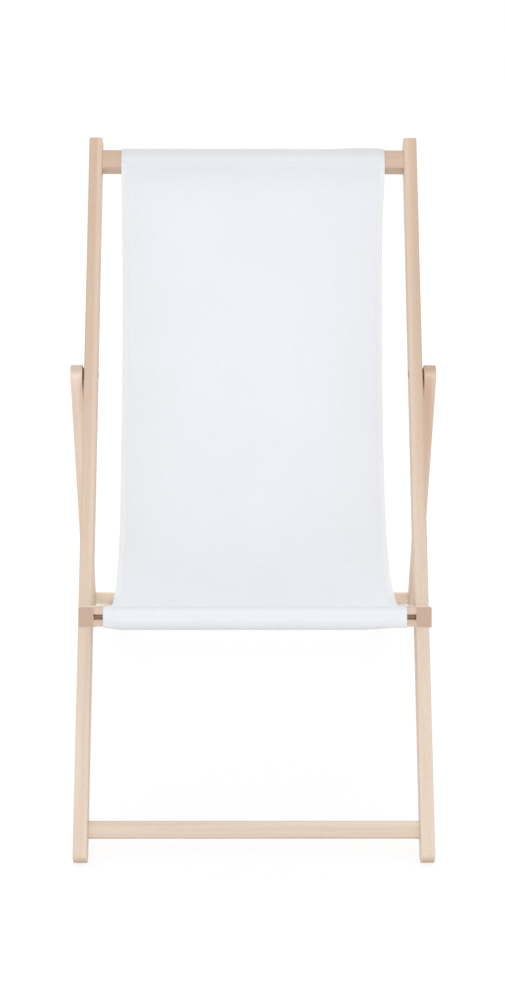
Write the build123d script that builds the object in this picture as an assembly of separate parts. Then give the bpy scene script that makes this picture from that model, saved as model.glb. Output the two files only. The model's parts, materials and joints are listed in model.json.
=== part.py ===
from build123d import *
import os
from math import asin, atan2, cos, hypot, radians, sin, sqrt, tan

# Folding deck chair. Millimetres. X across, Y from the front to the rear, Z up.
# Three frames are hinged together: the back frame, the seat frame and the prop frame.

# rails
rail_depth = 30.0
rail_thickness = 22.0
rail_edge_radius = 2.5
foot_flat_depth = 0.6

# back frame, measured along its rails from the centre of the rounded foot
back_width = 550.0
back_lean = 51.75
back_rail_reach = 1194.0
seat_pivot_reach = 372.0
prop_pivot_reach = 775.5
top_bar_reach = 1155.0
foot_crossbar_reach = 35.0

# seat frame, measured along its rails from the pivot
seat_side_gap = 1.5
seat_front_reach = 319.3
seat_rear_reach = 714.0
front_bar_set_back = 2.5
rear_crossbar_reach = 585.0

# notches in the top edge of the seat rails, the first one in use
notch_reach = 413.0
notch_spacing = 70.0
notch_count = 3
notch_width = 10.0
notch_depth = 8.0
notch_bar_clearance = 0.9

# prop frame
prop_side_gap = 2.5
prop_leg_thickness = 20.0
prop_bar_diameter = 22.0
prop_tenon_diameter = 14.0

# sling bars: one slotted bar at the top, two slats with a slot between them at the front
slat_width = 33.0
slat_thickness = 10.0
slat_slot = 7.2
slat_outer_radius = 2.5
slat_edge_radius = 1.5
top_slot_room = 1.2

# plain crossbars
crossbar_width = 26.0
crossbar_thickness = 16.0
crossbar_edge_radius = 2.5

# stub tenons at the ends of slats and crossbars
tenon_length = 12.0
tenon_shoulder = 2.5
glue_gap = 0.1

# sling
sling_thickness = 1.0
sling_top_width = 441.0
sling_front_width = 432.0
sling_clearance = 0.4
sling_hang_angle = 85.5
sling_back_tangent = 300.0
sling_front_run = 160.0
sling_tuck = 17.0
hem_rod_diameter = 4.0
hem_rod_clearance = 0.2
hem_rod_inset = 4.0
front_rod_end_gap = 0.3
front_rod_plug_gap = 0.8
front_rod_plug_clearance = 0.4

# pivots between the back frame and the seat frame
seat_bolt_radius = 4.0
seat_bolt_head_radius = 8.0
seat_bolt_head_height = 3.0
seat_nut_radius = 7.0
seat_nut_height = 6.0
seat_washer_radius = 10.0
seat_washer_thickness = 1.2

# pivots between the back frame and the prop frame
prop_bolt_radius = 3.0
prop_bolt_head_radius = 7.0
prop_bolt_head_height = 3.0
prop_nut_barrel_radius = 5.0
prop_nut_barrel_length = 12.0
prop_nut_flange_radius = 6.5
prop_nut_flange_height = 1.2
prop_washer_radius = 10.0
prop_washer_thickness = 2.2

pivot_clearance = 0.05
recess_clearance = 0.4


def point_on(origin, direction, along, across):
    """Point at a distance along a direction in the side view, and across it to its left."""
    y = origin[0] + along * cos(direction) - across * sin(direction)
    z = origin[1] + along * sin(direction) + across * cos(direction)
    return (y, z)


def side_plane(origin, direction):
    """Plane of the side view with its first axis along a rail and its normal along X."""
    return Plane(
        origin=(0, origin[0], origin[1]),
        x_dir=(0, cos(direction), sin(direction)),
        z_dir=(1, 0, 0),
    )


# side view: directions and hinge points
rail_half = rail_depth / 2
foot_height = rail_half - foot_flat_depth
back_direction = radians(back_lean)
seat_decline = asin(seat_pivot_reach * sin(back_direction) / seat_rear_reach)
seat_direction = -seat_decline

pivot_y_from_foot = seat_pivot_reach * cos(back_direction)
rear_end_y = pivot_y_from_foot + seat_rear_reach * cos(seat_decline) + rail_half
front_end_y = (
    pivot_y_from_foot
    - seat_front_reach * cos(seat_decline)
    - rail_half * sin(seat_decline)
)
foot_point = (-(rear_end_y + front_end_y) / 2, foot_height)
seat_pivot_point = point_on(foot_point, back_direction, seat_pivot_reach, 0)
prop_pivot_point = point_on(foot_point, back_direction, prop_pivot_reach, 0)

prop_bar_radius = prop_bar_diameter / 2
notch_half = notch_width / 2
bar_above_edge = sqrt(prop_bar_radius**2 - notch_half**2) + notch_bar_clearance
prop_bar_point = point_on(
    seat_pivot_point, seat_direction, notch_reach, rail_half + bar_above_edge
)
prop_leg_reach = hypot(
    prop_bar_point[0] - prop_pivot_point[0], prop_bar_point[1] - prop_pivot_point[1]
)
prop_direction = atan2(
    prop_bar_point[1] - prop_pivot_point[1], prop_bar_point[0] - prop_pivot_point[0]
)

back_plane = side_plane(foot_point, back_direction)
seat_plane = side_plane(seat_pivot_point, seat_direction)
prop_plane = side_plane(prop_pivot_point, prop_direction)

# positions across the chair, measured from the middle
back_outer = back_width / 2
back_inner = back_outer - rail_thickness
seat_outer = back_inner - seat_side_gap
seat_inner = seat_outer - rail_thickness
prop_inner = back_outer + prop_side_gap
prop_outer = prop_inner + prop_leg_thickness


def rail_solid(plane, start, end, start_round, end_round, inner, outer):
    """Right-hand rail with each end round or square and its long edges eased."""
    outline = Pos((start + end) / 2, 0) * Rectangle(end - start, rail_depth)
    if start_round:
        outline += Pos(start, 0) * Circle(rail_half)
    if end_round:
        outline += Pos(end, 0) * Circle(rail_half)
    square_ends = []
    if not start_round:
        square_ends.append(start)
    if not end_round:
        square_ends.append(end)
    corners = [v for v in outline.vertices() if any(abs(v.X - e) < 0.01 for e in square_ends)]
    if corners:
        outline = fillet(corners, rail_edge_radius)
    solid = extrude(plane.offset(inner) * outline, amount=outer - inner)
    rims = solid.faces().sort_by(Axis.X)
    return fillet(rims[0].edges() + rims[-1].edges(), rail_edge_radius)


def across_cylinder(point, radius, start, end):
    """Cylinder along X through a point of the side view."""
    return Pos((start + end) / 2, point[0], point[1]) * Rot(0, 90, 0) * Cylinder(radius, end - start)


def bar_block(plane, along, across, width, thickness, half_length):
    """Block centred on the middle of the chair, lying across it."""
    outline = Pos(along, across) * Rectangle(width, thickness)
    return extrude(plane * outline, amount=half_length, both=True)


def tenon_cut(plane, along, across, width, thickness, inner):
    """Mortise for the stub tenon of a bar that ends at a rail's inner face."""
    mortise = bar_block(
        plane,
        along,
        across,
        width - 2 * tenon_shoulder + 2 * glue_gap,
        thickness - 2 * tenon_shoulder + 2 * glue_gap,
        inner + tenon_length + glue_gap,
    )
    return mortise


def tenon_bar(plane, along, across, width, thickness, inner):
    """Stub tenons at both ends of a bar, as one block that runs through it."""
    return bar_block(
        plane,
        along,
        across,
        width - 2 * tenon_shoulder,
        thickness - 2 * tenon_shoulder,
        inner + tenon_length,
    )


def slat(plane, along, across, inner, outer_side):
    """Slat with tenons; its outer edge at the front takes the larger radius."""
    block = bar_block(plane, along, across, slat_width, slat_thickness, inner - glue_gap)
    long_edges = block.edges().filter_by(Axis.X)
    wide = []
    narrow = []
    for edge in long_edges:
        local = plane.to_local_coords(edge.center())
        is_outer = (local.Y - across) * outer_side > 0
        if is_outer and local.X < along:
            wide.append(edge)
        else:
            narrow.append(edge)
    block = fillet(wide, slat_outer_radius)
    narrow_now = [
        e
        for e in block.edges().filter_by(Axis.X)
        if any((e.center() - n.center()).length < 0.01 for n in narrow)
    ]
    block = fillet(narrow_now, slat_edge_radius)
    return block + tenon_bar(plane, along, across, slat_width, slat_thickness, inner)


def slotted_bar(plane, along, inner):
    """Bar as thick as two slats and their slot, with a stopped slot for the cloth and twin tenons."""
    bar = bar_block(plane, along, 0, slat_width, 2 * bar_half, inner - glue_gap)
    bar = fillet(bar.edges().filter_by(Axis.X), slat_outer_radius)
    mouth = Plane(plane.from_local_coords((along, 0, 0)), x_dir=(1, 0, 0), z_dir=plane.x_dir)
    slot_length = sling_top_width + 2 * top_slot_room
    bar -= extrude(mouth * Rectangle(slot_length, slat_slot), amount=slat_width, both=True)
    rims = []
    for face in bar.faces():
        if abs(abs(plane.to_local_coords(face.center()).X - along) - slat_width / 2) < 0.01:
            rims += [edge for wire in face.inner_wires() for edge in wire.edges()]
    bar = fillet(rims, slat_edge_radius)
    for offset in (slat_offset, -slat_offset):
        bar += tenon_bar(plane, along, offset, slat_width, slat_thickness, inner)
    return bar


def crossbar(plane, along, inner):
    """Plain rectangular crossbar with eased long edges and stub tenons."""
    block = bar_block(plane, along, 0, crossbar_width, crossbar_thickness, inner - glue_gap)
    block = fillet(block.edges().filter_by(Axis.X), crossbar_edge_radius)
    return block + tenon_bar(plane, along, 0, crossbar_width, crossbar_thickness, inner)


def save(shape, node):
    export_step(shape, "parts/" + node + ".step")


def save_pair(right, kind):
    """Save a right-hand piece and its mirror image."""
    save(right, "right_" + kind)
    save(mirror(right, about=Plane.YZ), "left_" + kind)


def save_group(right, node):
    """Save a piece and its mirror image as one group of two solids."""
    save(Compound(children=[right, mirror(right, about=Plane.YZ)]), node)


os.makedirs("parts", exist_ok=True)

slat_offset = (slat_slot + slat_thickness) / 2
bar_half = slat_slot / 2 + slat_thickness
front_bar_reach = -(seat_front_reach - front_bar_set_back - slat_width / 2)

# back frame
back_rail = rail_solid(back_plane, 0, back_rail_reach, True, False, back_inner, back_outer)
floor_block = Pos(0, 0, -rail_depth) * Box(2 * prop_outer, 4 * back_rail_reach, 2 * rail_depth)
back_rail -= floor_block
for offset in (slat_offset, -slat_offset):
    back_rail -= tenon_cut(
        back_plane, top_bar_reach, offset, slat_width, slat_thickness, back_inner
    )
back_rail -= tenon_cut(
    back_plane, foot_crossbar_reach, 0, crossbar_width, crossbar_thickness, back_inner
)
back_rail -= across_cylinder(
    seat_pivot_point, seat_bolt_radius + pivot_clearance, back_inner - 1, back_outer + 1
)
back_rail -= across_cylinder(
    seat_pivot_point,
    seat_bolt_head_radius + recess_clearance,
    back_outer - seat_bolt_head_height - recess_clearance,
    back_outer + 1,
)
back_rail -= across_cylinder(
    prop_pivot_point, prop_bolt_radius + pivot_clearance, back_inner - 1, back_outer + 1
)
back_rail -= across_cylinder(
    prop_pivot_point,
    prop_nut_barrel_radius + pivot_clearance,
    back_inner - 1,
    back_inner + prop_nut_barrel_length + recess_clearance,
)
save_pair(back_rail, "back_rail")
save(slotted_bar(back_plane, top_bar_reach, back_inner), "top_bar")
save(crossbar(back_plane, foot_crossbar_reach, back_inner), "foot_crossbar")

# seat frame
seat_rail = rail_solid(
    seat_plane, -seat_front_reach, seat_rear_reach, False, True, seat_inner, seat_outer
)
seat_rail -= floor_block
for number in range(notch_count):
    reach = notch_reach + number * notch_spacing
    floor_level = rail_half - notch_depth + notch_half
    cutter = Pos(reach, floor_level) * Circle(notch_half)
    cutter += Pos(reach, floor_level + notch_depth) * Rectangle(notch_width, 2 * notch_depth)
    seat_rail -= extrude(seat_plane.offset(seat_inner - 1) * cutter, amount=rail_thickness + 2)
for offset in (slat_offset, -slat_offset):
    seat_rail -= tenon_cut(
        seat_plane, front_bar_reach, offset, slat_width, slat_thickness, seat_inner
    )
seat_rail -= tenon_cut(
    seat_plane, rear_crossbar_reach, 0, crossbar_width, crossbar_thickness, seat_inner
)
seat_rail -= across_cylinder(
    seat_pivot_point, seat_bolt_radius + pivot_clearance, seat_inner - 1, seat_outer + 1
)
seat_rail -= across_cylinder(
    seat_pivot_point,
    seat_nut_radius + recess_clearance,
    seat_inner - 1,
    seat_inner + seat_nut_height + recess_clearance,
)
save_pair(seat_rail, "seat_rail")
save(slat(seat_plane, front_bar_reach, slat_offset, seat_inner, 1), "front_bar_upper_slat")
save(slat(seat_plane, front_bar_reach, -slat_offset, seat_inner, -1), "front_bar_lower_slat")
save(crossbar(seat_plane, rear_crossbar_reach, seat_inner), "rear_crossbar")

# prop frame
prop_leg = rail_solid(prop_plane, 0, prop_leg_reach, True, True, prop_inner, prop_outer)
prop_leg -= across_cylinder(
    prop_pivot_point, prop_bolt_radius + pivot_clearance, prop_inner - 1, prop_outer + 1
)
prop_leg -= across_cylinder(
    prop_pivot_point,
    prop_bolt_head_radius + recess_clearance,
    prop_outer - prop_bolt_head_height - recess_clearance,
    prop_outer + 1,
)
prop_leg -= across_cylinder(
    prop_bar_point,
    prop_tenon_diameter / 2 + glue_gap,
    prop_inner - 1,
    prop_inner + tenon_length + glue_gap,
)
save_pair(prop_leg, "prop_leg")
prop_bar_end = prop_inner - glue_gap
prop_tenon_end = prop_inner + tenon_length
prop_bar = across_cylinder(prop_bar_point, prop_bar_radius, -prop_bar_end, prop_bar_end)
prop_bar += across_cylinder(
    prop_bar_point, prop_tenon_diameter / 2, -prop_tenon_end, prop_tenon_end
)
save(prop_bar, "prop_crossbar")

# pivots between the back frame and the seat frame
seat_bolt = across_cylinder(
    seat_pivot_point,
    seat_bolt_head_radius,
    back_outer - recess_clearance / 2 - seat_bolt_head_height,
    back_outer - recess_clearance / 2,
)
seat_bolt += across_cylinder(
    seat_pivot_point, seat_bolt_radius, seat_inner + 1, back_outer - seat_bolt_head_height
)
seat_nut = across_cylinder(
    seat_pivot_point, seat_nut_radius, seat_inner, seat_inner + seat_nut_height
)
seat_nut -= across_cylinder(
    seat_pivot_point,
    seat_bolt_radius + pivot_clearance,
    seat_inner + 1 - pivot_clearance,
    seat_outer,
)
seat_washer = across_cylinder(
    seat_pivot_point, seat_washer_radius, back_inner - seat_washer_thickness, back_inner
)
seat_washer -= across_cylinder(
    seat_pivot_point, seat_bolt_radius + pivot_clearance, seat_inner, back_outer
)
save_group(seat_bolt, "seat_pivot_bolts")
save_group(seat_nut, "seat_pivot_nuts")
save_group(seat_washer, "seat_pivot_washers")

# pivots between the back frame and the prop frame
prop_bolt_tip = back_inner + 1
prop_bolt = across_cylinder(
    prop_pivot_point,
    prop_bolt_head_radius,
    prop_outer - recess_clearance / 2 - prop_bolt_head_height,
    prop_outer - recess_clearance / 2,
)
prop_bolt += across_cylinder(
    prop_pivot_point, prop_bolt_radius, prop_bolt_tip, prop_outer - prop_bolt_head_height
)
prop_nut = across_cylinder(
    prop_pivot_point,
    prop_nut_barrel_radius,
    back_inner - prop_nut_flange_height,
    back_inner + prop_nut_barrel_length,
)
prop_nut += across_cylinder(
    prop_pivot_point,
    prop_nut_flange_radius,
    back_inner - prop_nut_flange_height,
    back_inner,
)
prop_nut -= across_cylinder(
    prop_pivot_point,
    prop_bolt_radius + pivot_clearance,
    prop_bolt_tip - pivot_clearance,
    back_outer,
)
prop_washer = across_cylinder(
    prop_pivot_point, prop_washer_radius, back_outer, back_outer + prop_washer_thickness
)
prop_washer -= across_cylinder(
    prop_pivot_point, prop_bolt_radius + pivot_clearance, back_outer - 1, prop_inner
)
save_group(prop_bolt, "prop_pivot_bolts")
save_group(prop_nut, "prop_pivot_nuts")
save_group(prop_washer, "prop_pivot_washers")

# sling: one ribbon in the side view, from the hem in the top slot to the hem in the front slot
half_turn = radians(180)
quarter_turn = radians(90)
sling_stand_off = sling_clearance + sling_thickness / 2
round_turn = slat_outer_radius + sling_stand_off
tight_turn = slat_edge_radius + sling_stand_off
flat_over_bar = 2 * (bar_half - slat_outer_radius)
tuck_offset = slat_slot / 2 - sling_stand_off
top_bar_point = point_on(foot_point, back_direction, top_bar_reach, 0)
front_bar_point = point_on(seat_pivot_point, seat_direction, front_bar_reach, 0)


def go(path, length):
    """Add a straight run to a path of steps."""
    start, heading = path[-1]["end"], path[-1]["heading"]
    path.append({"end": point_on(start, heading, length, 0), "heading": heading})


def turn(path, radius, angle):
    """Add a tangent arc to a path of steps; a positive angle turns left."""
    start, heading = path[-1]["end"], path[-1]["heading"]
    to_centre = radius if angle > 0 else -radius
    centre = point_on(start, heading, 0, to_centre)
    middle = point_on(centre, heading + angle / 2, 0, -to_centre)
    end = point_on(centre, heading + angle, 0, -to_centre)
    path.append({"end": end, "heading": heading + angle, "middle": middle, "bend": angle / 2})


def edges_beside(path, offset):
    """Edges that run beside a path at an offset to its left."""
    edges = []
    last = point_on(path[0]["end"], path[0]["heading"], 0, offset)
    for step in path[1:]:
        end = point_on(step["end"], step["heading"], 0, offset)
        if "middle" in step:
            middle = point_on(step["middle"], step["heading"] - step["bend"], 0, offset)
            edges.append(ThreePointArc(last, middle, end))
        else:
            edges.append(Line(last, end))
        last = end
    return edges


# round the top bar: out of its slot, round its rear half, over the top and down the front
top_hem_point = point_on(top_bar_point, back_direction, sling_tuck - slat_width / 2, 0)
path = [
    {
        "end": point_on(top_hem_point, back_direction, 0, -tuck_offset),
        "heading": back_direction + half_turn,
    }
]
go(path, sling_tuck - slat_edge_radius)
turn(path, tight_turn, quarter_turn)
go(path, slat_thickness - slat_edge_radius - slat_outer_radius)
turn(path, round_turn, quarter_turn)
go(path, slat_width - 2 * slat_outer_radius)
turn(path, round_turn, quarter_turn)
go(path, flat_over_bar)
turn(path, round_turn, quarter_turn)
go(path, slat_width - 2 * slat_outer_radius)
turn(path, round_turn, radians(sling_hang_angle - back_lean))

# hang down behind the back frame, round the seat, and straight to the front bar beside the seat rails
leave_point, leave_heading = path[-1]["end"], path[-1]["heading"]
rise_heading = seat_direction + half_turn
front_corner = point_on(
    front_bar_point,
    seat_direction,
    slat_outer_radius - slat_width / 2,
    bar_half - slat_outer_radius,
)
arrive_point = point_on(front_corner, rise_heading, -sling_front_run, -round_turn)
span_y = arrive_point[0] - leave_point[0]
span_z = arrive_point[1] - leave_point[1]
span_leaving = span_y * cos(leave_heading) + span_z * sin(leave_heading)
span_rising = span_y * cos(rise_heading) + span_z * sin(rise_heading)
heading_cosine = cos(leave_heading - rise_heading)
# tangent of the seat arc at which it meets the back arc with no corner
seat_tangent = ((span_y**2 + span_z**2) / 2 - sling_back_tangent * span_leaving) / (
    span_rising + sling_back_tangent * (1 - heading_cosine)
)
back_corner = point_on(leave_point, leave_heading, sling_back_tangent, 0)
seat_corner = point_on(arrive_point, rise_heading, -seat_tangent, 0)
meet_heading = atan2(seat_corner[1] - back_corner[1], seat_corner[0] - back_corner[0])
back_turn = (leave_heading - meet_heading) % (2 * half_turn)
seat_turn = (meet_heading - rise_heading) % (2 * half_turn)
turn(path, sling_back_tangent / tan(back_turn / 2), -back_turn)
turn(path, seat_tangent / tan(seat_turn / 2), -seat_turn)
go(path, sling_front_run)

# round the front bar and back into its slot from behind
down_heading = seat_direction + half_turn + quarter_turn
turn(path, round_turn, down_heading - rise_heading)
go(path, flat_over_bar)
turn(path, round_turn, quarter_turn)
go(path, slat_width - slat_outer_radius - slat_edge_radius)
turn(path, tight_turn, quarter_turn)
go(path, slat_thickness - 2 * slat_edge_radius)
turn(path, tight_turn, quarter_turn)
go(path, sling_tuck - slat_edge_radius)
front_hem_point = point_on(path[-1]["end"], path[-1]["heading"], 0, -tuck_offset)

left_edges = edges_beside(path, sling_thickness / 2)
right_edges = edges_beside(path, -sling_thickness / 2)
start_edge = Line(left_edges[0] @ 0, right_edges[0] @ 0)
end_edge = Line(left_edges[-1] @ 1, right_edges[-1] @ 1)
ribbon = make_face(left_edges + right_edges + [start_edge, end_edge])

hem_rod_radius = hem_rod_diameter / 2
hem_hole_radius = hem_rod_radius + hem_rod_clearance
for hem_point in (top_hem_point, front_hem_point):
    ribbon += Pos(*hem_point) * Circle(hem_hole_radius + sling_thickness)
for hem_point in (top_hem_point, front_hem_point):
    ribbon -= Pos(*hem_point) * Circle(hem_hole_radius)

# the cloth narrows a little from the top bar to the front bar
taper = (sling_top_width - sling_front_width) / (top_bar_point[0] - front_bar_point[0])


def sling_half_width(y):
    return (sling_front_width + taper * (y - front_bar_point[0])) / 2


plan_front = front_bar_point[0] - 2 * slat_width
plan_rear = top_bar_point[0] + 2 * slat_width
plan = make_face(
    Polyline(
        (-sling_half_width(plan_front), plan_front),
        (sling_half_width(plan_front), plan_front),
        (sling_half_width(plan_rear), plan_rear),
        (-sling_half_width(plan_rear), plan_rear),
        close=True,
    )
)
sling = extrude(Plane.YZ * ribbon, amount=sling_top_width, both=True)
sling &= extrude(plan, amount=2 * back_rail_reach)
save(sling, "sling")

# the top rod stays inside its slot
top_rod_end = sling_top_width / 2 - hem_rod_inset
save(across_cylinder(top_hem_point, hem_rod_radius, -top_rod_end, top_rod_end), "top_hem_rod")

# the front rod has a thicker plug at each end, which fills the open end of its slot beside the cloth
front_rod_end = seat_inner - front_rod_end_gap
plug_start = sling_half_width(front_hem_point[0]) + front_rod_plug_gap
plug_radius = slat_slot / 2 - front_rod_plug_clearance
front_rod = across_cylinder(front_hem_point, hem_rod_radius, -front_rod_end, front_rod_end)
front_rod += across_cylinder(front_hem_point, plug_radius, plug_start, front_rod_end)
front_rod += across_cylinder(front_hem_point, plug_radius, -front_rod_end, -plug_start)
save(front_rod, "front_hem_rod")
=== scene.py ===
import bpy
import json
from bisect import bisect_right
from math import asin, atan2, cos, hypot, pi, radians, sin, tan
from mathutils import Matrix, Vector


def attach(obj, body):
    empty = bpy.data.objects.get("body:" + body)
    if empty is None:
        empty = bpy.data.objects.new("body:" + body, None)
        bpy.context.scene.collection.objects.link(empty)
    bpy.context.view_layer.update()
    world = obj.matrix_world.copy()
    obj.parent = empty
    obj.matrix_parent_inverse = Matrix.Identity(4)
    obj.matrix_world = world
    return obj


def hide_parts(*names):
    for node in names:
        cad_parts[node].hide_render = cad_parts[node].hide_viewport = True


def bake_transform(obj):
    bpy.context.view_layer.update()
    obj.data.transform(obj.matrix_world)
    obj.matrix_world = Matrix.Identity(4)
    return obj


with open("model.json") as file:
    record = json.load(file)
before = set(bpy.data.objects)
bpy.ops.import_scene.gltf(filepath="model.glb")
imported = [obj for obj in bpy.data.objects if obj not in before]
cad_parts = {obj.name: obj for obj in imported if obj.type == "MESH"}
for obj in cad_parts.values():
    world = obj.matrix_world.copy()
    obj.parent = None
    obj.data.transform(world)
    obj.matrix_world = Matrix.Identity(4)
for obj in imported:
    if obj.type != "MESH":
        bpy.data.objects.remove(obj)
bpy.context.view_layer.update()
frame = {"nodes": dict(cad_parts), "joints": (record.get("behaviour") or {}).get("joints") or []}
nodes = frame["nodes"]
bpy.ops.object.select_all(action="DESELECT")

# Deck chair. Metres. X across, Y from the front to the rear, Z up.
pivots = {joint["name"]: joint["pos_m"] for joint in frame["joints"]}
seat_pivot, prop_pivot = pivots["seat_fold"], pivots["prop_swing"]

# reaches along the back rails from the front feet, and along the seat rails from the lower pivot
back_lean = radians(51.75)
seat_pivot_reach, top_bar_reach = 0.372, 1.155
seat_rear_reach, seat_front_reach = 0.714, 0.3193
seat_slope = -asin(seat_pivot_reach * sin(back_lean) / seat_rear_reach)
prop_slope = radians(-73.433)

# the two bars that hold the sling: each has a slot along it, with wood as thick as a slat on both sides
slat_width, slat_thickness, slot_width = 0.033, 0.010, 0.0072
slat_radius, slot_radius = 0.0025, 0.0015
bar_half = slot_width / 2 + slat_thickness
front_bar_set_back = 0.0025


def linear(red, green, blue):
    """A colour written as 0 to 255 screen values, as the shader wants it."""
    shares = [value / 255 for value in (red, green, blue)]
    return (*[s / 12.92 if s < 0.04045 else ((s + 0.055) / 1.055) ** 2.4 for s in shares], 1.0)


# Finishes


def new_finish(name):
    finish = bpy.data.materials.new(name)
    finish.use_nodes = True
    finish.node_tree.nodes.clear()
    return finish, finish.node_tree


def fill(tree, socket, value):
    """Link a value that comes from another node, or set one that is the same all over."""
    if isinstance(value, bpy.types.NodeSocket):
        tree.links.new(value, socket)
    else:
        socket.default_value = value


def add(tree, kind, inputs=None, **settings):
    made = tree.nodes.new(kind)
    for key, value in settings.items():
        setattr(made, key, value)
    for key, value in (inputs or {}).items():
        fill(tree, made.inputs[key], value)
    return made


def work_out(tree, operation, first, second=None, clamp=False):
    values = {0: first} if second is None else {0: first, 1: second}
    return add(tree, "ShaderNodeMath", values, operation=operation, use_clamp=clamp).outputs[0]


def spread(tree, value, low, high, to_low, to_high):
    """Value from low to high, eased over to_low to to_high."""
    made = add(
        tree,
        "ShaderNodeMapRange",
        {"Value": value, "From Min": low, "From Max": high, "To Min": to_low, "To Max": to_high},
        interpolation_type="SMOOTHSTEP",
    )
    return made.outputs["Result"]


def blend_colour(tree, factor, first, second):
    made = add(tree, "ShaderNodeMix", data_type="RGBA")
    for key, value in (("Factor_Float", factor), ("A_Color", first), ("B_Color", second)):
        fill(tree, next(s for s in made.inputs if s.identifier == key), value)
    return next(s for s in made.outputs if s.identifier == "Result_Color")


def bump(tree, height, strength, distance):
    settings = {"Height": height, "Strength": strength, "Distance": distance}
    return add(tree, "ShaderNodeBump", settings).outputs[0]


def fibres(tree, place, across, along, detail, seed):
    """Noise drawn out along the grain, which runs along the mapped Y."""
    drawn = add(
        tree,
        "ShaderNodeMapping",
        {"Vector": place, "Location": (seed, seed * 0.7, -seed), "Scale": (across, along, across)},
    )
    noise = add(tree, "ShaderNodeTexNoise", {"Vector": drawn.outputs[0], "Scale": 1.0, "Detail": detail})
    return noise.outputs["Fac"]


def bolt_gap_shade(tree, where, from_middle, bolt, full, end, inner_face):
    """Share of painted shade round a bolt, on the leg's face in the gap: full near it, gone at the end, and
    only on the inner face.
    """
    gap_shade_share, skin = 0.8, 0.001
    centre = (0, bolt[1], bolt[2])
    in_side_view = add(tree, "ShaderNodeVectorMath", {0: where, 1: (0, 1, 1)}, operation="MULTIPLY")
    away = add(tree, "ShaderNodeVectorMath", {0: in_side_view.outputs[0], 1: centre}, operation="DISTANCE")
    near_bolt_shade = spread(tree, away.outputs["Value"], full, end, gap_shade_share, 0.0)
    inside = spread(tree, from_middle, inner_face, inner_face + skin, 1.0, 0.0)
    return work_out(tree, "MULTIPLY", near_bolt_shade, inside)


sawn_beech, pore_brown = linear(200, 176, 156), linear(146, 112, 86)
fibre_brown, fleck_brown = linear(176, 138, 106), linear(168, 122, 88)
# the paler of these two tones is painted light for the inner strip of the back rails
darker_up_tone, inner_light_tone = linear(190, 158, 132), linear(230, 213, 197)
# the second tone here is painted shade for the gap beside the prop bolt
edge_brown, gap_shade_brown = linear(188, 160, 136), linear(98, 72, 54)


def beech(
    name, grain, light, dark, seed, eased=True, cut=sawn_beech, inner_painted_light=None, deeper=None, gap_shading=None
):
    """Oiled beech: tone bands, fine fibres, ray flecks, end grain and darker eased edges.

    Grain is the turn that lays its fibres along the mapped Y, and cut the tone of its end grain. sapwood is
    how far from the middle of the chair a paler strip of painted light on the inner edge reaches before it
    fades, and deeper is the height where the board starts to darken, where it ends and how much. stained
    gives the bolt round which painted shade darkens the inner face in the gap, how far out that is full and
    where it ends, and how far from the middle that face is."""
    finish, tree = new_finish(name)
    source = add(tree, "ShaderNodeTexCoord")
    where, normal = source.outputs["Object"], source.outputs["Normal"]
    place = add(tree, "ShaderNodeMapping", {"Vector": where, "Rotation": grain}).outputs[0]
    facing = add(tree, "ShaderNodeMapping", {"Vector": normal, "Rotation": grain}, vector_type="NORMAL")
    parts = add(tree, "ShaderNodeSeparateXYZ", {"Vector": facing.outputs[0]})
    sides = [work_out(tree, "ABSOLUTE", parts.outputs[i]) for i in range(3)]
    end_grain = spread(tree, sides[1], 0.55, 0.95, 0.0, 1.0)
    spot = add(tree, "ShaderNodeSeparateXYZ", {"Vector": where})
    from_middle, level = work_out(tree, "ABSOLUTE", spot.outputs[0]), spot.outputs[2]

    bands = fibres(tree, place, across=70.0, along=1.6, detail=2.0, seed=seed)
    lines = fibres(tree, place, across=620.0, along=7.0, detail=3.0, seed=seed + 3.1)
    flecks = fibres(tree, place, across=1500.0, along=240.0, detail=1.0, seed=seed + 7.7)
    flecks = spread(tree, flecks, 0.60, 0.70, 0.0, 1.0)
    pores = fibres(tree, place, across=2600.0, along=2600.0, detail=1.0, seed=seed + 5.3)
    pores = spread(tree, pores, 0.55, 0.70, 0.0, 1.0)

    line_share = 0.10
    fleck_share = 0.22
    pore_share = 0.35
    inner_light_share = 0.34
    edge_share = 0.16
    tone = blend_colour(tree, spread(tree, bands, 0.32, 0.68, 0.0, 1.0), light, dark)
    # darker towards the top of the board
    if deeper:
        low, high, darker_up_share = deeper
        tone = blend_colour(tree, spread(tree, level, low, high, 0.0, darker_up_share), tone, darker_up_tone)
    # a paler strip along the inner edge: painted light from the bright middle of the chair
    if inner_painted_light:
        tone = blend_colour(tree, spread(tree, from_middle, *inner_painted_light, inner_light_share, 0.0), tone, inner_light_tone)
    tone = blend_colour(tree, spread(tree, lines, 0.35, 0.75, 0.0, line_share), tone, fibre_brown)
    tone = blend_colour(tree, work_out(tree, "MULTIPLY", flecks, fleck_share), tone, fleck_brown)
    # painted shade on the leg's inner face, in the gap beside the bolt
    if gap_shading:
        tone = blend_colour(tree, bolt_gap_shade(tree, where, from_middle, *gap_shading), tone, gap_shade_brown)
    sawn = blend_colour(tree, work_out(tree, "MULTIPLY", pores, pore_share), cut, pore_brown)
    tone = blend_colour(tree, end_grain, tone, sawn)
    if eased:
        largest = work_out(tree, "MAXIMUM", work_out(tree, "MAXIMUM", sides[0], sides[1]), sides[2])
        tone = blend_colour(tree, spread(tree, largest, 0.74, 0.98, edge_share, 0.0), tone, edge_brown)

    raised = work_out(tree, "MULTIPLY", lines, 0.7)
    sunk = work_out(tree, "MULTIPLY", flecks, -0.25)
    open_pores = work_out(tree, "MULTIPLY", work_out(tree, "MULTIPLY", pores, end_grain), -0.5)
    height = work_out(tree, "ADD", work_out(tree, "ADD", raised, sunk), open_pores)
    shader = add(
        tree,
        "ShaderNodeBsdfPrincipled",
        {
            "Base Color": tone,
            "Roughness": spread(tree, lines, 0.3, 0.7, 0.50, 0.64),
            "Normal": bump(tree, height, strength=0.25, distance=0.0003),
        },
    )
    add(tree, "ShaderNodeOutputMaterial", {"Surface": shader.outputs[0]})
    return finish


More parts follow.
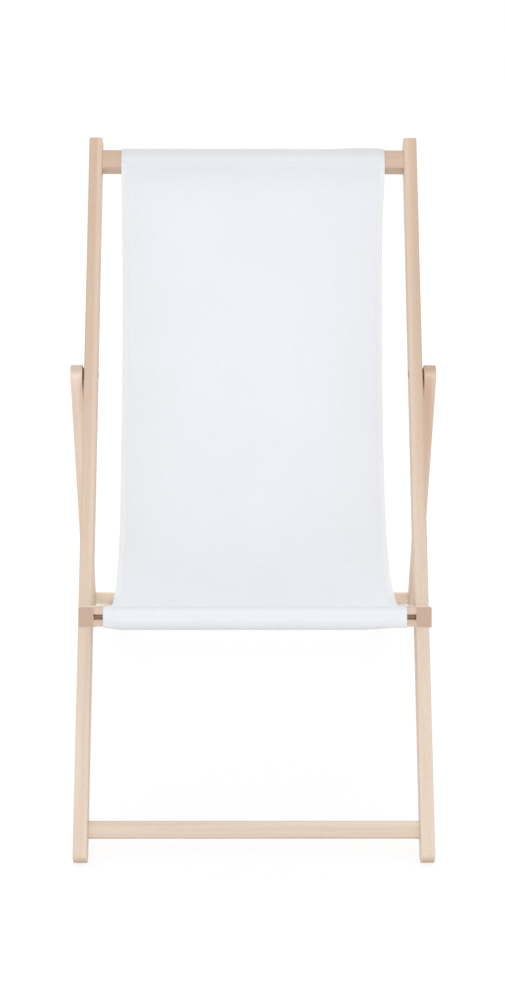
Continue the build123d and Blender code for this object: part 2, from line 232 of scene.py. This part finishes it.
def plated_steel(name, dark, light):
    """Zinc plate on steel in a dark and a light tone: faint spangle and fine turning marks. The tones are its
    passivation, and on the darkest finish partly painted shade for the gaps.
    """
    finish, tree = new_finish(name)
    where = add(tree, "ShaderNodeTexCoord").outputs["Object"]
    cloud = add(tree, "ShaderNodeTexNoise", {"Vector": where, "Scale": 420.0, "Detail": 4.0}).outputs["Fac"]
    grit = add(tree, "ShaderNodeTexNoise", {"Vector": where, "Scale": 5200.0, "Detail": 2.0}).outputs["Fac"]
    shader = add(
        tree,
        "ShaderNodeBsdfPrincipled",
        {
            "Base Color": blend_colour(tree, spread(tree, cloud, 0.35, 0.65, 0.0, 1.0), dark, light),
            "Metallic": 1.0,
            "Roughness": spread(tree, cloud, 0.3, 0.7, 0.42, 0.55),
            "Normal": bump(tree, grit, strength=0.12, distance=0.0001),
        },
    )
    add(tree, "ShaderNodeOutputMaterial", {"Surface": shader.outputs[0]})
    return finish


def slubs(tree, flat, across, along, seed):
    """Noise drawn out along the threads of the flat cloth."""
    drawn = add(
        tree,
        "ShaderNodeMapping",
        {"Vector": flat, "Location": (seed, seed, 0.0), "Scale": (across, along, 1.0)},
    )
    noise = add(tree, "ShaderNodeTexNoise", {"Vector": drawn.outputs[0], "Scale": 1.0, "Detail": 2.0})
    return noise.outputs["Fac"]


def canvas(name, light, shade, dense_painted_light, painted_fold_grey, hem, hang, painted_fold_shade):
    """Plain-woven white canvas on the cloth's own flat map, which is in metres.

    dense is a lighter tone on the two-layer hem where it hangs, partly the thicker cloth and partly painted
    light:
    hem is how far from the middle that starts and is full, and hang where along the run it starts, is full,
    begins to fade and has faded. greyed is painted shade on the folds over the bars, and worn gives each
    fold: its place along the run, how far from there the shade fades, and how dark it gets."""
    finish, tree = new_finish(name)
    flat = add(tree, "ShaderNodeUVMap", uv_map="flat_cloth").outputs[0]
    split = add(tree, "ShaderNodeSeparateXYZ", {"Vector": flat})
    across, along = split.outputs[0], split.outputs[1]
    thread_pitch = 0.00075
    warp = work_out(tree, "COSINE", work_out(tree, "MULTIPLY", across, pi / thread_pitch))
    weft = work_out(tree, "COSINE", work_out(tree, "MULTIPLY", along, pi / thread_pitch))
    weave = spread(tree, work_out(tree, "MULTIPLY", warp, weft), -1.0, 1.0, 0.0, 1.0)
    warp_slubs = slubs(tree, flat, across=1300.0, along=40.0, seed=2.0)
    weft_slubs = slubs(tree, flat, across=40.0, along=1300.0, seed=9.0)
    thick = work_out(tree, "ADD", warp_slubs, weft_slubs)
    cloud = slubs(tree, flat, across=9.0, along=6.0, seed=4.0)

    cloud_share = 0.10
    slub_share = 0.22
    gap_share = 0.25
    dense_painted_light_share = 0.85
    through_share = 0.25
    tone = blend_colour(tree, spread(tree, cloud, 0.3, 0.7, 0.0, cloud_share), light, shade)
    tone = blend_colour(tree, spread(tree, thick, 0.85, 1.25, 0.0, slub_share), tone, shade)
    tone = blend_colour(tree, spread(tree, weave, 0.0, 0.35, gap_share, 0.0), tone, shade)
    # a lighter two-layer hem where it hangs: partly the thicker cloth, partly painted light that fades out
    # before the seat
    double_painted_light = spread(tree, work_out(tree, "ABSOLUTE", across), *hem, 0.0, dense_painted_light_share)
    double_painted_light = work_out(tree, "MULTIPLY", double_painted_light, spread(tree, along, *hang[:2], 0.0, 1.0))
    double_painted_light = work_out(tree, "MULTIPLY", double_painted_light, spread(tree, along, *hang[2:], 1.0, 0.0))
    tone = blend_colour(tree, double_painted_light, tone, dense_painted_light)
    # painted shade on each fold over the bars
    for place, reach, share in painted_fold_shade:
        away = work_out(tree, "ABSOLUTE", work_out(tree, "SUBTRACT", along, place))
        tone = blend_colour(tree, spread(tree, away, 0.0, reach, share, 0.0), tone, painted_fold_grey)

    woven = work_out(tree, "MULTIPLY", weave, 0.7)
    slubbed = work_out(tree, "MULTIPLY", thick, 0.4)
    height = work_out(tree, "ADD", woven, slubbed)
    shader = add(
        tree,
        "ShaderNodeBsdfPrincipled",
        {
            "Base Color": tone,
            "Roughness": spread(tree, thick, 0.8, 1.2, 0.82, 0.92),
            "Normal": bump(tree, height, strength=0.16, distance=0.0002),
            "Sheen Weight": 0.08,
            "Sheen Roughness": 0.5,
            "Specular IOR Level": 0.25,
        },
    )
    through = add(tree, "ShaderNodeBsdfTranslucent", {"Color": tone})
    cloth = add(tree, "ShaderNodeMixShader", {0: through_share, 1: shader.outputs[0], 2: through.outputs[0]})
    add(tree, "ShaderNodeOutputMaterial", {"Surface": cloth.outputs[0]})
    return finish


def sewing_thread(name, light, shade):
    """Twisted white thread on the cloth's flat map."""
    finish, tree = new_finish(name)
    flat = add(tree, "ShaderNodeUVMap", uv_map="flat_cloth").outputs[0]
    split = add(tree, "ShaderNodeSeparateXYZ", {"Vector": flat})
    across, along = split.outputs[0], split.outputs[1]
    twist_length, twist_slant = 0.0006, 1.4
    slant = work_out(tree, "ADD", along, work_out(tree, "MULTIPLY", across, twist_slant))
    ply = work_out(tree, "SINE", work_out(tree, "MULTIPLY", slant, 2 * pi / twist_length))
    strand = spread(tree, ply, -1.0, 1.0, 0.0, 1.0)
    shader = add(
        tree,
        "ShaderNodeBsdfPrincipled",
        {
            "Base Color": blend_colour(tree, strand, shade, light),
            "Roughness": spread(tree, strand, 0.0, 1.0, 0.78, 0.62),
            "Normal": bump(tree, strand, strength=0.3, distance=0.0001),
        },
    )
    add(tree, "ShaderNodeOutputMaterial", {"Surface": shader.outputs[0]})
    return finish


along_back = (-back_lean, 0.0, 0.0)
along_seat = (-seat_slope, 0.0, 0.0)
along_prop = (-prop_slope, 0.0, 0.0)
across_back = (-back_lean, 0.0, pi / 2)
across_seat = (-seat_slope, 0.0, pi / 2)
across_prop = (-prop_slope, 0.0, pi / 2)

rail_light, rail_dark = linear(225, 209, 192), linear(217, 196, 178)
# where the painted light on the inner edge of the back rails fades out
inner_light_reach = (0.258, 0.264)
left_beech = beech(
    "left_rail_beech",
    along_back,
    rail_light,
    rail_dark,
    seed=1.0,
    inner_painted_light=inner_light_reach,
    deeper=(0.05, 0.68, 0.585),
)
right_beech = beech(
    "right_rail_beech",
    along_back,
    rail_light,
    rail_dark,
    seed=7.3,
    inner_painted_light=inner_light_reach,
    deeper=(0.10, 0.75, 0.605),
)
seat_beech = beech(
    "seat_rail_beech",
    along_seat,
    linear(221, 202, 184),
    linear(212, 187, 168),
    seed=4.2,
    cut=linear(185, 159, 139),
)
leg_inner_face = min(abs(point.co.x) for point in nodes["left_prop_leg"].data.vertices)
left_prop_beech = beech(
    "left_prop_beech",
    along_prop,
    linear(238, 218, 202),
    linear(228, 203, 185),
    seed=8.5,
    cut=linear(198, 180, 166),
    # painted shade in the gap between this leg and the back rail
    gap_shading=(prop_pivot, 0.020, 0.038, leg_inner_face),
)
right_prop_beech = beech(
    "right_prop_beech",
    along_prop,
    linear(222, 197, 176),
    linear(213, 183, 161),
    seed=5.1,
    cut=linear(190, 160, 138),
)
top_beech = beech(
    "top_bar_beech",
    across_back,
    linear(203, 177, 156),
    linear(196, 170, 149),
    seed=2.6,
    eased=False,
)
foot_beech = beech(
    "foot_crossbar_beech",
    across_back,
    linear(222, 206, 189),
    linear(214, 192, 173),
    seed=6.1,
)
front_beech = beech(
    "front_bar_beech",
    across_seat,
    linear(207, 186, 169),
    linear(198, 173, 155),
    seed=9.4,
)
# the prop crossbar's pale tone is partly its own beech and partly painted light, lifting the shade it gets
# under the seat
round_beech_painted_light = beech(
    "prop_crossbar_beech_painted_light",
    across_prop,
    linear(236, 219, 202),
    linear(228, 209, 190),
    seed=3.7,
    eased=False,
)
rod_beech = beech(
    "hem_rod_beech",
    across_seat,
    linear(236, 207, 174),
    linear(220, 188, 155),
    seed=5.9,
    eased=False,
)
# the dark brown of the bolts and washers is partly painted shade for the narrow gaps between the frames
dark_zinc_gap_shade = plated_steel("dark_zinc_gap_shade", linear(98, 80, 66), linear(120, 100, 83))
yellow_zinc = plated_steel("yellow_zinc", linear(172, 141, 110), linear(192, 161, 128))
thread_finish = sewing_thread("white_thread", linear(246, 246, 246), linear(228, 229, 231))

finish_of = {
    left_beech: ["left_back_rail"],
    right_beech: ["right_back_rail"],
    seat_beech: ["left_seat_rail", "right_seat_rail"],
    left_prop_beech: ["left_prop_leg"],
    right_prop_beech: ["right_prop_leg"],
    top_beech: ["top_bar"],
    foot_beech: ["foot_crossbar"],
    front_beech: ["front_bar_upper_slat", "front_bar_lower_slat", "rear_crossbar"],
    round_beech_painted_light: ["prop_crossbar"],
    rod_beech: ["top_hem_rod", "front_hem_rod"],
    dark_zinc_gap_shade: ["seat_pivot_washers", "prop_pivot_washers"],
}
for finish, names in finish_of.items():
    for name in names:
        finishes = nodes[name].data.materials
        finishes.clear()
        finishes.append(finish)

# Selecting a piece, and its edges and faces by their place or normal

tolerance = 1e-5


def select_piece(piece):
    bpy.ops.object.select_all(action="DESELECT")
    bpy.context.view_layer.objects.active = piece
    piece.select_set(True)


def deselect_mesh(piece):
    for part in (piece.data.polygons, piece.data.edges, piece.data.vertices):
        for item in part:
            item.select = False


def select_edges(piece, wanted):
    """Select the edges of a piece by their two ends, and go back to edit mode."""
    deselect_mesh(piece)
    for edge in piece.data.edges:
        ends = [piece.data.vertices[i] for i in edge.vertices]
        if wanted(ends[0].co, ends[1].co):
            edge.select = True
            for end in ends:
                end.select = True
    bpy.ops.object.mode_set(mode="EDIT")


def select_faces(piece, wanted):
    """Select the faces of a piece by their normal, and go back to edit mode."""
    deselect_mesh(piece)
    for face in piece.data.polygons:
        face.select = wanted(face.normal)
    bpy.context.tool_settings.mesh_select_mode = (False, False, True)
    bpy.ops.object.mode_set(mode="EDIT")


# Sling: its route in the side view, as points and headings along the run of the cloth

stand_off = 0.0009
round_turn = slat_radius + stand_off
tight_turn = slot_radius + stand_off
tuck = 0.017
tuck_offset = slot_width / 2 - stand_off
hem_loop = radians(285)
hang_lean = radians(85.5)
back_tangent = 0.300
seat_straight = 0.160
straight_steps, corner_steps, loop_steps, hang_steps = 8, 16, 24, 80
route = []


def beside(point, heading, along, left):
    """Point at a distance along a heading in the side view, and to its left."""
    return (
        point[0] + along * cos(heading) - left * sin(heading),
        point[1] + along * sin(heading) + left * cos(heading),
    )


def go(length):
    point, heading = route[-1]
    for i in range(1, straight_steps + 1):
        route.append((beside(point, heading, length * i / straight_steps, 0), heading))


def turn(radius, angle, steps=corner_steps):
    """Round to the left, or to the right where the angle is negative."""
    point, heading = route[-1]
    to_left = radius if angle > 0 else -radius
    centre = beside(point, heading, 0, to_left)
    for i in range(1, steps + 1):
        now = heading + angle * i / steps
        route.append((beside(centre, now, 0, -to_left), now))


def row_reached():
    return len(route) - 1


lower_pivot = (seat_pivot[1], seat_pivot[2])
top_bar = beside(lower_pivot, back_lean, top_bar_reach - seat_pivot_reach, 0)
front_bar = beside(lower_pivot, seat_slope, -(seat_front_reach - front_bar_set_back - slat_width / 2), 0)

# hem loop round the rod in the top slot, then round the rear half of the bar, over it and down its front
top_rod = beside(top_bar, back_lean, tuck - slat_width / 2, 0)
loop_heading = back_lean + pi + hem_loop
route.append((beside(top_rod, loop_heading, 0, tuck_offset), loop_heading))
turn(tuck_offset, -hem_loop, loop_steps)
go(tuck - slot_radius)
turn(tight_turn, pi / 2)
go(slat_thickness - slot_radius - slat_radius)
turn(round_turn, pi / 2)
go(slat_width - 2 * slat_radius)
rear_top_row = row_reached()
turn(round_turn, pi / 2)
go(2 * (bar_half - slat_radius))
turn(round_turn, pi / 2)
front_top_row = row_reached()
go(slat_width - 2 * slat_radius)
turn(round_turn, hang_lean - back_lean)
leave, leave_heading = route[-1]
leave_row = row_reached()

# hanging back and seat as two arcs, then straight to the front bar beside the seat rails
rise = seat_slope + pi
front_corner = beside(front_bar, seat_slope, slat_radius - slat_width / 2, bar_half - slat_radius)
arrive = beside(front_corner, rise, -seat_straight, -round_turn)
span = Vector(arrive) - Vector(leave)
leaving = Vector((cos(leave_heading), sin(leave_heading)))
rising = Vector((cos(rise), sin(rise)))
seat_tangent = (span.length_squared / 2 - back_tangent * span.dot(leaving)) / (
    span.dot(rising) + back_tangent * (1 - leaving.dot(rising))
)
back_corner = Vector(leave) + leaving * back_tangent
seat_corner = Vector(arrive) - rising * seat_tangent
meet = atan2(seat_corner.y - back_corner.y, seat_corner.x - back_corner.x)
back_turn = (leave_heading - meet) % (2 * pi)
seat_turn = (meet - rise) % (2 * pi)
turn(back_tangent / tan(back_turn / 2), -back_turn, hang_steps)
turn(seat_tangent / tan(seat_turn / 2), -seat_turn, hang_steps)
go(seat_straight)
bar_row = row_reached()

# round the front bar and back into its slot from behind, with a hem loop round the rod
turn(round_turn, pi / 2)
front_face_row = row_reached()
go(2 * (bar_half - slat_radius))
low_edge_row = row_reached()
turn(round_turn, pi / 2)
under_row = row_reached()
go(slat_width - slat_radius - slot_radius)
under_end_row = row_reached()
turn(tight_turn, pi / 2)
go(slat_thickness - 2 * slot_radius)
turn(tight_turn, pi / 2)
go(tuck - slot_radius)
turn(tuck_offset, -hem_loop, loop_steps)

run = [0.0]
for (before, _), (after, _) in zip(route, route[1:]):
    run.append(run[-1] + hypot(after[0] - before[0], after[1] - before[1]))
cloth_length = run[-1]
rear_top, front_top, top_end = run[rear_top_row], run[front_top_row], run[leave_row]
front_start, under_end = run[bar_row], run[under_end_row]
high_corner = (front_start + run[front_face_row]) / 2
low_corner = (run[low_edge_row] + run[under_row]) / 2
hang_length = front_start - top_end

# How the cloth lies: its width, its side hems and where it stands off the route

top_width, front_width = 0.441, 0.432
half = top_width / 2
hem_width, fold, cloth_thickness = 0.0085, 0.00045, 0.0008

# from each side edge, where the cloth starts to rise on to its hem and where it lies on it
rise_start, rise_end = 0.016, 0.011


def ease(value, low, high):
    share = min(max((value - low) / (high - low), 0.0), 1.0)
    return share * share * (3 - 2 * share)


def swell(y, low, high):
    """A rise of 1 between two places on the run of the cloth, none outside them."""
    return sin(pi * min(max((y - low) / (high - low), 0.0), 1.0))


def drawn_in(x, y):
    """How far the side edge is drawn in where the cloth hangs: all down the right, low down on the left."""
    right_draw, left_draw = 0.0023, 0.0019
    share = (y - top_end) / hang_length
    if x > 0:
        return right_draw * ease(share, 0.0, 0.10) * (1 - ease(share, 0.64, 0.78))
    return left_draw * ease(share, 0.45, 0.62) * (1 - ease(share, 0.82, 0.97))


def belly(y):
    """Fullness round the front bar: in front of it and below, touching only at its corners."""
    front_fullness, under_fullness = 0.0034, 0.0038
    in_front = front_fullness * swell(y, high_corner, low_corner)
    return in_front + under_fullness * swell(y, low_corner, under_end)


def over_top_bar(x, y):
    """Fullness over the top bar, with a pucker near its right end, and down its front to just below it."""
    rear_reach, front_reach, top_fullness = 0.015, 0.022, 0.0010
    pucker_height, pucker_place, pucker_half = 0.0017, 0.185, 0.050
    front_fullness, edge_inset, below_bar = 0.0015, 0.002, 0.055
    bar_edge = top_end - edge_inset
    over = ease(y, rear_top - rear_reach, rear_top) * (1 - ease(y, front_top, front_top + front_reach))
    pucker = top_fullness + pucker_height * max(1 - ((x - pucker_place) / pucker_half) ** 2, 0.0)
    front = swell(y, front_top, bar_edge) + swell(y, bar_edge, bar_edge + below_bar)
    return pucker * over + front_fullness * front


def slack(x, y):
    """How far the cloth stands off its route: over the hems, over the top bar and round the front bar."""
    right_hold, left_hold, top_hold = 0.075, 0.028, 0.010
    lift = fold * ease(abs(x), half - rise_start, half - rise_end)
    held = ease(half - x, 0.0, right_hold) * ease(half + x, 0.0, left_hold)
    end = ease(half - abs(x), 0.0, top_hold)
    return lift + belly(y) * held + over_top_bar(x, y) * end


def laid(flat):
    """Where a point of the flat cloth comes to lie: X across, Y along the run, Z out of the front face."""
    i = min(max(bisect_right(run, flat.y), 1), len(run) - 1)
    share = (flat.y - run[i - 1]) / (run[i] - run[i - 1])
    (y0, z0), heading0 = route[i - 1]
    (y1, z1), heading1 = route[i]
    y, z = y0 + (y1 - y0) * share, z0 + (z1 - z0) * share
    heading = heading0 + (heading1 - heading0) * share
    width = front_width + (top_width - front_width) * (y - front_bar[0]) / (top_bar[0] - front_bar[0])
    across = flat.x * width / top_width * (1 - drawn_in(flat.x, flat.y) / half)
    return Vector((across, y + flat.z * sin(heading), z - flat.z * cos(heading)))


def lay_along_route(piece):
    """Keep the flat place in metres as the piece's map, then lay the piece along the route."""
    for layer in list(piece.data.uv_layers):
        piece.data.uv_layers.remove(layer)
    flat_map = piece.data.uv_layers.new(name="flat_cloth")
    for loop in piece.data.loops:
        place = piece.data.vertices[loop.vertex_index].co
        flat_map.data[loop.index].uv = (place.x, place.y)
    for point in piece.data.vertices:
        point.co.z += slack(point.co.x, point.co.y)
        point.co = laid(point.co)


# Sling cloth: a flat sheet at its cut size, its sides hemmed, then laid along the route

columns, rows = 44, 170
bar_cuts, fold_steps = 5, 5
hem_columns = (rise_start, 0.0135, rise_end, 0.0012)
near_bar = 0.012
hem_start, hem_blur, hang_blur = half - hem_width, 0.0008, 0.010
fade_start, fade_end = top_end + 0.66 * hang_length, top_end + 0.86 * hang_length
cloth_finish = canvas(
    "white_canvas",
    light=linear(244, 246, 249),
    shade=linear(228, 230, 233),
    # the hem's lighter tone is partly the thicker cloth and partly painted light
    dense_painted_light=linear(253, 254, 255),
    # painted shade on the folds over the top bar and round the front bar
    painted_fold_grey=linear(196, 194, 184),
    hem=(hem_start - hem_blur, hem_start + hem_blur),
    hang=(top_end - hang_blur, top_end + hang_blur, fade_start, fade_end),
    painted_fold_shade=((front_top, 0.017, 0.27), (high_corner, 0.0065, 0.19), (low_corner, 0.0115, 0.15)),
)
bpy.ops.mesh.primitive_grid_add(x_subdivisions=columns, y_subdivisions=rows, size=1.0, location=(0, 0, 0))
sling = bpy.context.object
sling.name = "sling_cloth"
sling.scale = (top_width, cloth_length, 1.0)
sling.location = (0, cloth_length / 2, 0)
bpy.ops.object.transform_apply(location=True, rotation=True, scale=True)
bpy.ops.object.mode_set(mode="EDIT")
bpy.ops.mesh.select_mode(type="EDGE")
for side in (-1, 1):
    for inset in hem_columns:
        bpy.ops.mesh.select_all(action="SELECT")
        bpy.ops.mesh.bisect(plane_co=(side * (half - inset), 0, 0), plane_no=(1, 0, 0))
bpy.ops.object.mode_set(mode="OBJECT")


def near_a_bar(a, b):
    lengthwise = abs(a.x - b.x) < tolerance
    return lengthwise and (max(a.y, b.y) < top_end + near_bar or min(a.y, b.y) > front_start - near_bar)


select_edges(sling, near_a_bar)
bpy.ops.mesh.subdivide(number_cuts=bar_cuts)
bpy.ops.object.mode_set(mode="OBJECT")
for side in (-1, 1):
    select_edges(sling, lambda a, b: min(a.x * side, b.x * side) > half - tolerance)
    bpy.ops.mesh.spin(steps=fold_steps, angle=side * pi, center=(side * half, 0, -fold), axis=(0, 1, 0))
    bpy.ops.mesh.extrude_region_move(TRANSFORM_OT_translate={"value": (-side * hem_width, 0, 0)})
    bpy.ops.object.mode_set(mode="OBJECT")
lay_along_route(sling)
shell = sling.modifiers.new("cloth_thickness", "SOLIDIFY")
shell.thickness, shell.offset = cloth_thickness, 0.0
select_piece(sling)
bpy.ops.object.modifier_apply(modifier="cloth_thickness")
bpy.ops.object.shade_smooth_by_angle(angle=radians(50))
sling.data.materials.append(cloth_finish)
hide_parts("sling")
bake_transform(sling)

# Stitching: one stitch with pointed ends, repeated along both side hems on both faces of the cloth

stitch_length, stitch_pitch, stitch_radius = 0.0021, 0.0032, 0.0003
tip_inset, tip_length = 0.00014, 0.00018
unsewn_end, edge_to_seam, thread_lift = 0.050, 0.0066, 0.00002
hem_line = half - edge_to_seam
front_of_hem = cloth_thickness / 2 + thread_lift
back_of_hem = -2 * fold - front_of_hem
bpy.ops.object.select_all(action="DESELECT")
bpy.ops.mesh.primitive_cylinder_add(
    vertices=6,
    radius=stitch_radius,
    depth=stitch_length,
    location=(hem_line, unsewn_end, 0),
    rotation=(pi / 2, 0, 0),
)
stitching = bpy.context.object
stitching.name = "sling_stitching"
bpy.ops.object.transform_apply(location=True, rotation=True, scale=True)
select_faces(stitching, lambda normal: abs(normal.y) > 0.9)
bpy.ops.mesh.inset(thickness=tip_inset, depth=tip_length, use_individual=True)
bpy.ops.object.mode_set(mode="OBJECT")
row = stitching.modifiers.new("stitch_row", "ARRAY")
row.use_relative_offset, row.use_constant_offset = False, True
row.constant_offset_displace = (0, stitch_pitch, 0)
row.count = int((cloth_length - 2 * unsewn_end) / stitch_pitch)
select_piece(stitching)
bpy.ops.object.modifier_apply(modifier="stitch_row")
seams = [stitching]
for shift in ((0, back_of_hem), (-2 * hem_line, front_of_hem), (-2 * hem_line, back_of_hem)):
    select_piece(stitching)
    bpy.ops.object.duplicate()
    bpy.ops.transform.translate(value=(shift[0], 0, shift[1]))
    seams.append(bpy.context.object)
select_piece(stitching)
bpy.ops.transform.translate(value=(0, 0, front_of_hem))
for seam in seams:
    seam.select_set(True)
bpy.ops.object.join()
bpy.ops.object.transform_apply(location=True, rotation=True, scale=True)
lay_along_route(stitching)

# laying a piece mirrors it, which turns the faces of the stitches inwards, so they are turned out again
select_piece(stitching)
bpy.ops.object.mode_set(mode="EDIT")
bpy.ops.mesh.select_all(action="SELECT")
bpy.ops.mesh.normals_make_consistent(inside=False)
bpy.ops.object.mode_set(mode="OBJECT")
bpy.ops.object.shade_smooth_by_angle(angle=radians(60))
stitching.data.materials.append(thread_finish)
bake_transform(stitching)

# Pivot bolts and nuts: a round head with an eased rim and a hex socket, its stem, and the same on the left

rim_ease = 0.0005


def add_cylinder(vertices, radius, depth, middle, pivot):
    """A cylinder along X on the line of a pivot, with its middle that far across the chair."""
    bpy.ops.object.select_all(action="DESELECT")
    bpy.ops.mesh.primitive_cylinder_add(
        vertices=vertices,
        radius=radius,
        depth=depth,
        location=(middle, pivot[1], pivot[2]),
        rotation=(0, pi / 2, 0),
    )
    return bpy.context.object


def pivot_fastener(name, node, finish, pivot, face, into, head, stem, socket):
    """Face is where it shows and into the way that it goes in. The rest are a radius and a length each."""
    head_radius, head_length = head
    piece = add_cylinder(48, head_radius, head_length, face + into * head_length / 2, pivot)
    piece.name = name
    bpy.ops.object.transform_apply(location=True, rotation=True, scale=True)
    if stem:
        stem_radius, stem_length = stem
        select_faces(piece, lambda normal: normal.x * into > 0.9)
        bpy.ops.mesh.inset(thickness=head_radius - stem_radius)
        bpy.ops.mesh.extrude_region_move(TRANSFORM_OT_translate={"value": (into * stem_length, 0, 0)})
        bpy.ops.object.mode_set(mode="OBJECT")
    select_edges(piece, lambda a, b: max(abs(a.x - face), abs(b.x - face)) < tolerance)
    bpy.ops.mesh.bevel(offset=rim_ease, segments=3, affect="EDGES")
    bpy.ops.object.mode_set(mode="OBJECT")

    socket_radius, socket_depth = socket
    key = add_cylinder(6, socket_radius, 2 * socket_depth, face, pivot)
    select_piece(piece)
    cut = piece.modifiers.new("hex_socket", "BOOLEAN")
    cut.operation, cut.object = "DIFFERENCE", key
    bpy.ops.object.modifier_apply(modifier="hex_socket")
    bpy.data.objects.remove(key)
    twin = piece.modifiers.new("left_side", "MIRROR")
    twin.use_axis[0], twin.use_mirror_merge = True, False
    bpy.ops.object.modifier_apply(modifier="left_side")
    bpy.ops.object.shade_smooth_by_angle(angle=radians(35))
    piece.data.materials.clear()
    piece.data.materials.append(finish)
    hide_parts(node)
    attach(piece, "back_frame")


seat_socket, prop_socket = (0.0030, 0.0018), (0.0024, 0.0015)
pivot_fastener(
    "seat_pivot_bolt_pair",
    "seat_pivot_bolts",
    dark_zinc_gap_shade,
    seat_pivot,
    face=0.2748,
    into=-1,
    head=(0.008, 0.003),
    stem=(0.004, 0.038),
    socket=seat_socket,
)
pivot_fastener(
    "seat_pivot_nut_pair",
    "seat_pivot_nuts",
    yellow_zinc,
    seat_pivot,
    face=0.2295,
    into=1,
    head=(0.007, 0.006),
    stem=None,
    socket=seat_socket,
)
pivot_fastener(
    "prop_pivot_bolt_pair",
    "prop_pivot_bolts",
    dark_zinc_gap_shade,
    prop_pivot,
    face=0.2973,
    into=-1,
    head=(0.007, 0.003),
    stem=(0.003, 0.040),
    socket=prop_socket,
)
pivot_fastener(
    "prop_pivot_nut_pair",
    "prop_pivot_nuts",
    yellow_zinc,
    prop_pivot,
    face=0.2524,
    into=1,
    head=(0.0065, 0.0006),
    stem=(0.005, 0.012),
    socket=prop_socket,
)

# Floor: plain white where the camera sees it, with a trace of the chair's shadow

floor_size, floor_drop = 40.0, 0.0004
bpy.ops.mesh.primitive_plane_add(size=floor_size, location=(0, 0, -floor_drop))
floor = bpy.context.object
floor.name = "floor"
floor_finish, tree = new_finish("white_floor")
seen = add(tree, "ShaderNodeLightPath")
direct = work_out(tree, "ADD", seen.outputs["Is Camera Ray"], seen.outputs["Is Glossy Ray"])
direct = work_out(tree, "ADD", direct, seen.outputs["Is Transmission Ray"], clamp=True)
pale = add(tree, "ShaderNodeBsdfDiffuse", {"Color": (0.82, 0.82, 0.82, 1.0)})
glow = add(tree, "ShaderNodeEmission", {"Color": (1.0, 1.0, 1.0, 1.0), "Strength": 0.79})
trace = add(tree, "ShaderNodeBsdfDiffuse", {"Color": (0.22, 0.22, 0.22, 1.0)})
white = add(tree, "ShaderNodeAddShader", {0: glow.outputs[0], 1: trace.outputs[0]})
choice = add(tree, "ShaderNodeMixShader", {0: direct, 1: pale.outputs[0], 2: white.outputs[0]})
add(tree, "ShaderNodeOutputMaterial", {"Surface": choice.outputs[0]})
floor.data.materials.append(floor_finish)

# Light: a pale sky all round, plain white to the camera, and three softboxes

world = bpy.data.worlds.new("studio")
bpy.context.scene.world = world
world.use_nodes = True
tree = world.node_tree
tree.nodes.clear()
to_camera = add(tree, "ShaderNodeLightPath").outputs["Is Camera Ray"]
around = add(tree, "ShaderNodeBackground", {"Color": (0.98, 0.99, 1.0, 1.0), "Strength": 1.0})
behind = add(tree, "ShaderNodeBackground", {"Color": (1.0, 1.0, 1.0, 1.0), "Strength": 1.0})
choice = add(tree, "ShaderNodeMixShader", {0: to_camera, 1: around.outputs[0], 2: behind.outputs[0]})
add(tree, "ShaderNodeOutputWorld", {"Surface": choice.outputs[0]})


def softbox(name, place, aim, size, power):
    lamp = bpy.data.lights.new(name, "AREA")
    lamp.shape, lamp.size, lamp.size_y, lamp.energy = "RECTANGLE", size[0], size[1], power
    holder = bpy.data.objects.new(name, lamp)
    bpy.context.scene.collection.objects.link(holder)
    holder.location = place
    holder.rotation_euler = (Vector(aim) - Vector(place)).to_track_quat("-Z", "Y").to_euler()
    holder.visible_camera = False


softbox("front_softbox", place=(0.0, -2.8, 0.9), aim=(0, 0, 0.45), size=(2.8, 1.7), power=16.5)
softbox("overhead_softbox", place=(0.0, 0.7, 3.2), aim=(0, 0, 0.3), size=(3.0, 3.0), power=14.0)
softbox("rear_softbox", place=(0.0, 3.2, 1.4), aim=(0, 0, 0.6), size=(3.4, 2.6), power=25.0)

# Camera

camera_place = (-0.0208, -3.1512, 1.6703)
camera_pan, camera_tilt, camera_roll = radians(-0.357), radians(68.493), radians(0.159)
eye = bpy.data.cameras.new("camera")
camera = bpy.data.objects.new("camera", eye)
bpy.context.scene.collection.objects.link(camera)
eye.sensor_width, eye.lens = 36.0, 74.532
camera.matrix_world = (
    Matrix.Translation(camera_place)
    @ Matrix.Rotation(camera_pan, 4, "Z")
    @ Matrix.Rotation(camera_tilt, 4, "X")
    @ Matrix.Rotation(camera_roll, 4, "Z")
)
bpy.context.scene.camera = camera
bpy.context.scene.view_settings.view_transform = "Standard"
